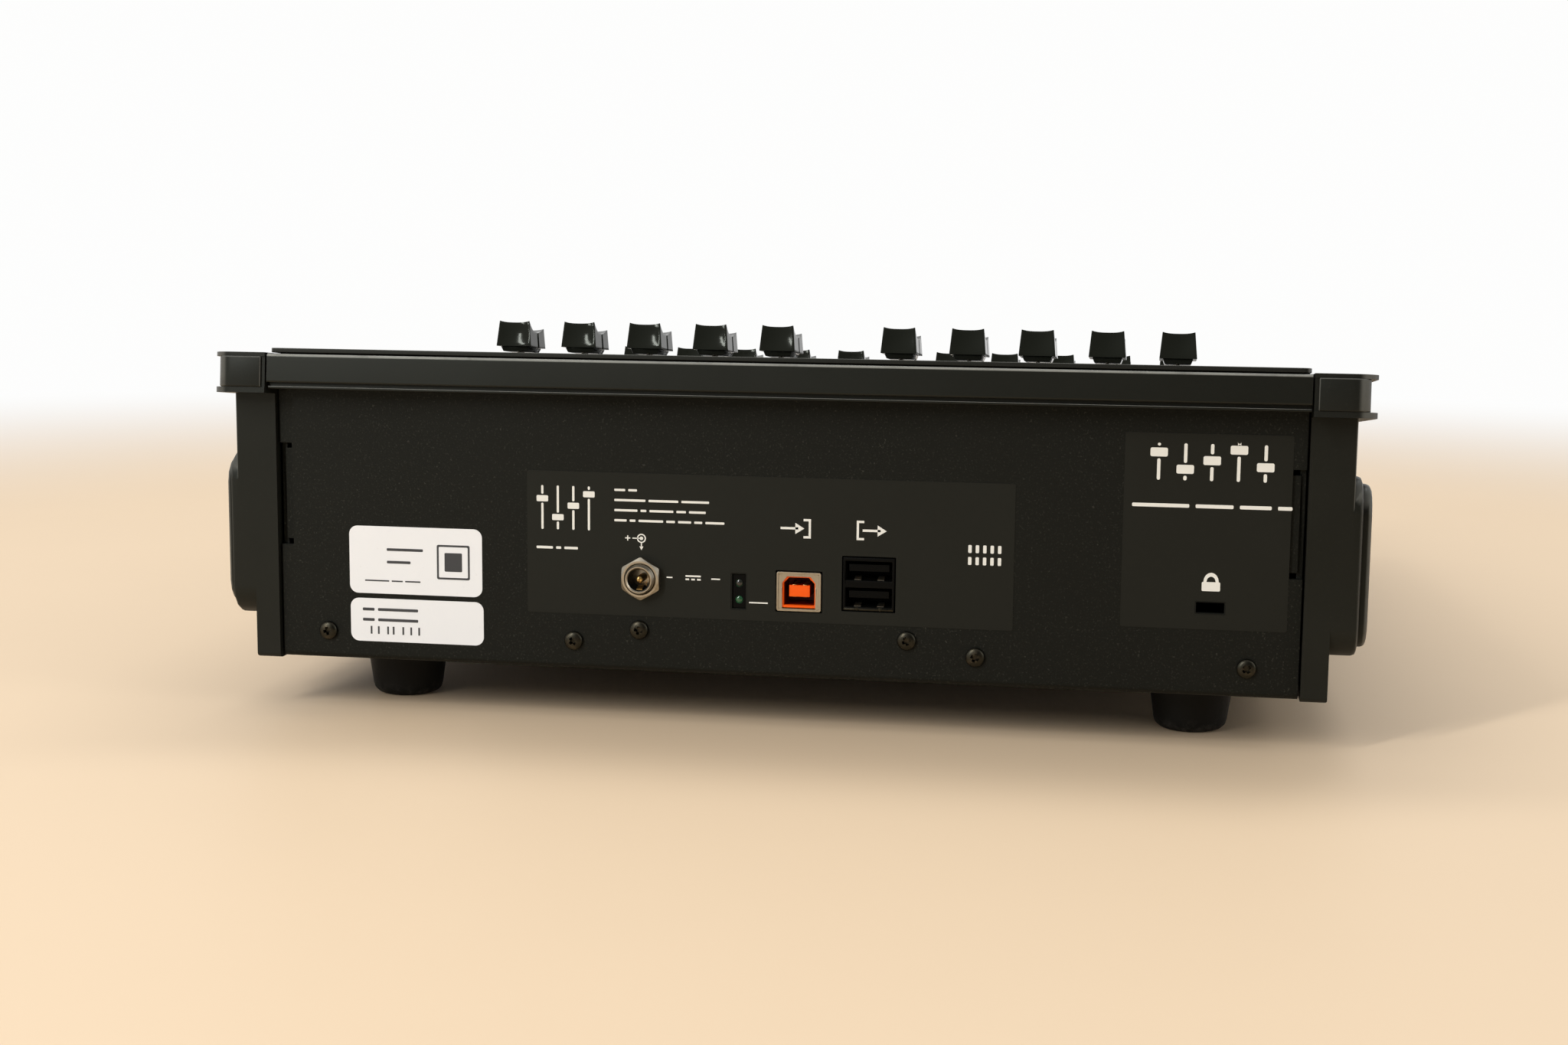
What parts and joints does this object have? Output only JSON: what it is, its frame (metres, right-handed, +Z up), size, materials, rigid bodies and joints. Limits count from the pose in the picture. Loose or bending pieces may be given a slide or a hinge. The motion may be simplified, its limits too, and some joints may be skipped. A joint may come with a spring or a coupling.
{
  "type": "lighting fader wing",
  "caption": "Wedge-shaped lighting control wing with banks of slide faders and bump keys under display strips, rear sockets, end cheeks and rubber feet.",
  "frame": {"origin": "on the table, under the middle of the unit's box", "axes": "+Z up, +Y to the connector side, +X to the operator's right"},
  "size_m": [0.3108, 0.3692, 0.1037],
  "materials": {
    "powder_coated_steel": "fine-textured powder coat",
    "satin_black_metal": "satin paint",
    "face_plate_black": "fine matt print on metal",
    "moulded_black": "fine moulded texture",
    "foot_rubber": "matt",
    "fader_cap_black": "satin",
    "key_grey": "soft matt",
    "display_lens": "gloss",
    "nickel_plate": "satin nickel",
    "orange_plastic": "satin",
    "socket_black": "satin",
    "circuit_board": "solder mask"
  },
  "bodies": {
    "chassis": {"base_tray": "powder_coated_steel", "top_frame": "satin_black_metal", "face_plate": "face_plate_black", "control_board": "circuit_board", "right_end_cheek": "moulded_black", "left_end_cheek": "moulded_black", "right_side_cover": "moulded_black", "left_side_cover": "moulded_black", "rear_left_foot": "foot_rubber", "rear_right_foot": "foot_rubber", "front_left_foot": "foot_rubber", "front_right_foot": "foot_rubber", "io_board": "circuit_board", "power_inlet": "nickel_plate", "power_inlet_nut": "nickel_plate", "square_socket_shell": "nickel_plate", "square_socket_insert": "orange_plastic", "flat_socket_stack": "socket_black", "rear_display_lens": "display_lens", "front_display_lens": "display_lens"},
    "rear_fader_01": {"rear_fader_01": "fader_cap_black"},
    "rear_key_01": {"rear_key_01": "key_grey"},
    "rear_fader_02": {"rear_fader_02": "fader_cap_black"},
    "rear_key_02": {"rear_key_02": "key_grey"},
    "rear_fader_03": {"rear_fader_03": "fader_cap_black"},
    "rear_key_03": {"rear_key_03": "key_grey"},
    "rear_fader_04": {"rear_fader_04": "fader_cap_black"},
    "rear_key_04": {"rear_key_04": "key_grey"},
    "rear_fader_05": {"rear_fader_05": "fader_cap_black"},
    "rear_key_05": {"rear_key_05": "key_grey"},
    "rear_fader_06": {"rear_fader_06": "fader_cap_black"},
    "rear_key_06": {"rear_key_06": "key_grey"},
    "rear_fader_07": {"rear_fader_07": "fader_cap_black"},
    "rear_key_07": {"rear_key_07": "key_grey"},
    "rear_fader_08": {"rear_fader_08": "fader_cap_black"},
    "rear_key_08": {"rear_key_08": "key_grey"},
    "rear_fader_09": {"rear_fader_09": "fader_cap_black"},
    "rear_key_09": {"rear_key_09": "key_grey"},
    "rear_fader_10": {"rear_fader_10": "fader_cap_black"},
    "rear_key_10": {"rear_key_10": "key_grey"},
    "front_fader_01": {"front_fader_01": "fader_cap_black"},
    "front_key_01": {"front_key_01": "key_grey"},
    "front_fader_02": {"front_fader_02": "fader_cap_black"},
    "front_key_02": {"front_key_02": "key_grey"},
    "front_fader_03": {"front_fader_03": "fader_cap_black"},
    "front_key_03": {"front_key_03": "key_grey"},
    "front_fader_04": {"front_fader_04": "fader_cap_black"},
    "front_key_04": {"front_key_04": "key_grey"},
    "front_fader_05": {"front_fader_05": "fader_cap_black"},
    "front_key_05": {"front_key_05": "key_grey"},
    "front_fader_06": {"front_fader_06": "fader_cap_black"},
    "front_key_06": {"front_key_06": "key_grey"},
    "front_fader_07": {"front_fader_07": "fader_cap_black"},
    "front_key_07": {"front_key_07": "key_grey"},
    "front_fader_08": {"front_fader_08": "fader_cap_black"},
    "front_key_08": {"front_key_08": "key_grey"},
    "front_fader_09": {"front_fader_09": "fader_cap_black"},
    "front_key_09": {"front_key_09": "key_grey"},
    "front_fader_10": {"front_fader_10": "fader_cap_black"},
    "front_key_10": {"front_key_10": "key_grey"}
  },
  "joints": [
    {"name": "rear_fader_01_slide", "type": "slide", "parent": "chassis", "child": "rear_fader_01", "axis": [0, 0.995, 0.1002], "range_m": [0, 0.06]},
    {"name": "rear_key_01_press", "type": "slide", "parent": "chassis", "child": "rear_key_01", "axis": [0, 0.1002, -0.995], "range_m": [0, 0.0015], "stiffness_N_per_m": 250, "springref_m": -0.0008},
    {"name": "rear_fader_02_slide", "type": "slide", "parent": "chassis", "child": "rear_fader_02", "axis": [0, 0.995, 0.1002], "range_m": [0, 0.06]},
    {"name": "rear_key_02_press", "type": "slide", "parent": "chassis", "child": "rear_key_02", "axis": [0, 0.1002, -0.995], "range_m": [0, 0.0015], "stiffness_N_per_m": 250, "springref_m": -0.0008},
    {"name": "rear_fader_03_slide", "type": "slide", "parent": "chassis", "child": "rear_fader_03", "axis": [0, 0.995, 0.1002], "range_m": [0, 0.06]},
    {"name": "rear_key_03_press", "type": "slide", "parent": "chassis", "child": "rear_key_03", "axis": [0, 0.1002, -0.995], "range_m": [0, 0.0015], "stiffness_N_per_m": 250, "springref_m": -0.0008},
    {"name": "rear_fader_04_slide", "type": "slide", "parent": "chassis", "child": "rear_fader_04", "axis": [0, 0.995, 0.1002], "range_m": [0, 0.06]},
    {"name": "rear_key_04_press", "type": "slide", "parent": "chassis", "child": "rear_key_04", "axis": [0, 0.1002, -0.995], "range_m": [0, 0.0015], "stiffness_N_per_m": 250, "springref_m": -0.0008},
    {"name": "rear_fader_05_slide", "type": "slide", "parent": "chassis", "child": "rear_fader_05", "axis": [0, 0.995, 0.1002], "range_m": [0, 0.06]},
    {"name": "rear_key_05_press", "type": "slide", "parent": "chassis", "child": "rear_key_05", "axis": [0, 0.1002, -0.995], "range_m": [0, 0.0015], "stiffness_N_per_m": 250, "springref_m": -0.0008},
    {"name": "rear_fader_06_slide", "type": "slide", "parent": "chassis", "child": "rear_fader_06", "axis": [0, 0.995, 0.1002], "range_m": [0, 0.06]},
    {"name": "rear_key_06_press", "type": "slide", "parent": "chassis", "child": "rear_key_06", "axis": [0, 0.1002, -0.995], "range_m": [0, 0.0015], "stiffness_N_per_m": 250, "springref_m": -0.0008},
    {"name": "rear_fader_07_slide", "type": "slide", "parent": "chassis", "child": "rear_fader_07", "axis": [0, 0.995, 0.1002], "range_m": [0, 0.06]},
    {"name": "rear_key_07_press", "type": "slide", "parent": "chassis", "child": "rear_key_07", "axis": [0, 0.1002, -0.995], "range_m": [0, 0.0015], "stiffness_N_per_m": 250, "springref_m": -0.0008},
    {"name": "rear_fader_08_slide", "type": "slide", "parent": "chassis", "child": "rear_fader_08", "axis": [0, 0.995, 0.1002], "range_m": [0, 0.06]},
    {"name": "rear_key_08_press", "type": "slide", "parent": "chassis", "child": "rear_key_08", "axis": [0, 0.1002, -0.995], "range_m": [0, 0.0015], "stiffness_N_per_m": 250, "springref_m": -0.0008},
    {"name": "rear_fader_09_slide", "type": "slide", "parent": "chassis", "child": "rear_fader_09", "axis": [0, 0.995, 0.1002], "range_m": [0, 0.06]},
    {"name": "rear_key_09_press", "type": "slide", "parent": "chassis", "child": "rear_key_09", "axis": [0, 0.1002, -0.995], "range_m": [0, 0.0015], "stiffness_N_per_m": 250, "springref_m": -0.0008},
    {"name": "rear_fader_10_slide", "type": "slide", "parent": "chassis", "child": "rear_fader_10", "axis": [0, 0.995, 0.1002], "range_m": [0, 0.06]},
    {"name": "rear_key_10_press", "type": "slide", "parent": "chassis", "child": "rear_key_10", "axis": [0, 0.1002, -0.995], "range_m": [0, 0.0015], "stiffness_N_per_m": 250, "springref_m": -0.0008},
    {"name": "front_fader_01_slide", "type": "slide", "parent": "chassis", "child": "front_fader_01", "axis": [0, 0.995, 0.1002], "range_m": [0, 0.06]},
    {"name": "front_key_01_press", "type": "slide", "parent": "chassis", "child": "front_key_01", "axis": [0, 0.1002, -0.995], "range_m": [0, 0.0015], "stiffness_N_per_m": 250, "springref_m": -0.0008},
    {"name": "front_fader_02_slide", "type": "slide", "parent": "chassis", "child": "front_fader_02", "axis": [0, 0.995, 0.1002], "range_m": [0, 0.06]},
    {"name": "front_key_02_press", "type": "slide", "parent": "chassis", "child": "front_key_02", "axis": [0, 0.1002, -0.995], "range_m": [0, 0.0015], "stiffness_N_per_m": 250, "springref_m": -0.0008},
    {"name": "front_fader_03_slide", "type": "slide", "parent": "chassis", "child": "front_fader_03", "axis": [0, 0.995, 0.1002], "range_m": [0, 0.06]},
    {"name": "front_key_03_press", "type": "slide", "parent": "chassis", "child": "front_key_03", "axis": [0, 0.1002, -0.995], "range_m": [0, 0.0015], "stiffness_N_per_m": 250, "springref_m": -0.0008},
    {"name": "front_fader_04_slide", "type": "slide", "parent": "chassis", "child": "front_fader_04", "axis": [0, 0.995, 0.1002], "range_m": [0, 0.06]},
    {"name": "front_key_04_press", "type": "slide", "parent": "chassis", "child": "front_key_04", "axis": [0, 0.1002, -0.995], "range_m": [0, 0.0015], "stiffness_N_per_m": 250, "springref_m": -0.0008},
    {"name": "front_fader_05_slide", "type": "slide", "parent": "chassis", "child": "front_fader_05", "axis": [0, 0.995, 0.1002], "range_m": [0, 0.06]},
    {"name": "front_key_05_press", "type": "slide", "parent": "chassis", "child": "front_key_05", "axis": [0, 0.1002, -0.995], "range_m": [0, 0.0015], "stiffness_N_per_m": 250, "springref_m": -0.0008},
    {"name": "front_fader_06_slide", "type": "slide", "parent": "chassis", "child": "front_fader_06", "axis": [0, 0.995, 0.1002], "range_m": [0, 0.06]},
    {"name": "front_key_06_press", "type": "slide", "parent": "chassis", "child": "front_key_06", "axis": [0, 0.1002, -0.995], "range_m": [0, 0.0015], "stiffness_N_per_m": 250, "springref_m": -0.0008},
    {"name": "front_fader_07_slide", "type": "slide", "parent": "chassis", "child": "front_fader_07", "axis": [0, 0.995, 0.1002], "range_m": [0, 0.06]},
    {"name": "front_key_07_press", "type": "slide", "parent": "chassis", "child": "front_key_07", "axis": [0, 0.1002, -0.995], "range_m": [0, 0.0015], "stiffness_N_per_m": 250, "springref_m": -0.0008},
    {"name": "front_fader_08_slide", "type": "slide", "parent": "chassis", "child": "front_fader_08", "axis": [0, 0.995, 0.1002], "range_m": [0, 0.06]},
    {"name": "front_key_08_press", "type": "slide", "parent": "chassis", "child": "front_key_08", "axis": [0, 0.1002, -0.995], "range_m": [0, 0.0015], "stiffness_N_per_m": 250, "springref_m": -0.0008},
    {"name": "front_fader_09_slide", "type": "slide", "parent": "chassis", "child": "front_fader_09", "axis": [0, 0.995, 0.1002], "range_m": [0, 0.06]},
    {"name": "front_key_09_press", "type": "slide", "parent": "chassis", "child": "front_key_09", "axis": [0, 0.1002, -0.995], "range_m": [0, 0.0015], "stiffness_N_per_m": 250, "springref_m": -0.0008},
    {"name": "front_fader_10_slide", "type": "slide", "parent": "chassis", "child": "front_fader_10", "axis": [0, 0.995, 0.1002], "range_m": [0, 0.06]},
    {"name": "front_key_10_press", "type": "slide", "parent": "chassis", "child": "front_key_10", "axis": [0, 0.1002, -0.995], "range_m": [0, 0.0015], "stiffness_N_per_m": 250, "springref_m": -0.0008}
  ]
}
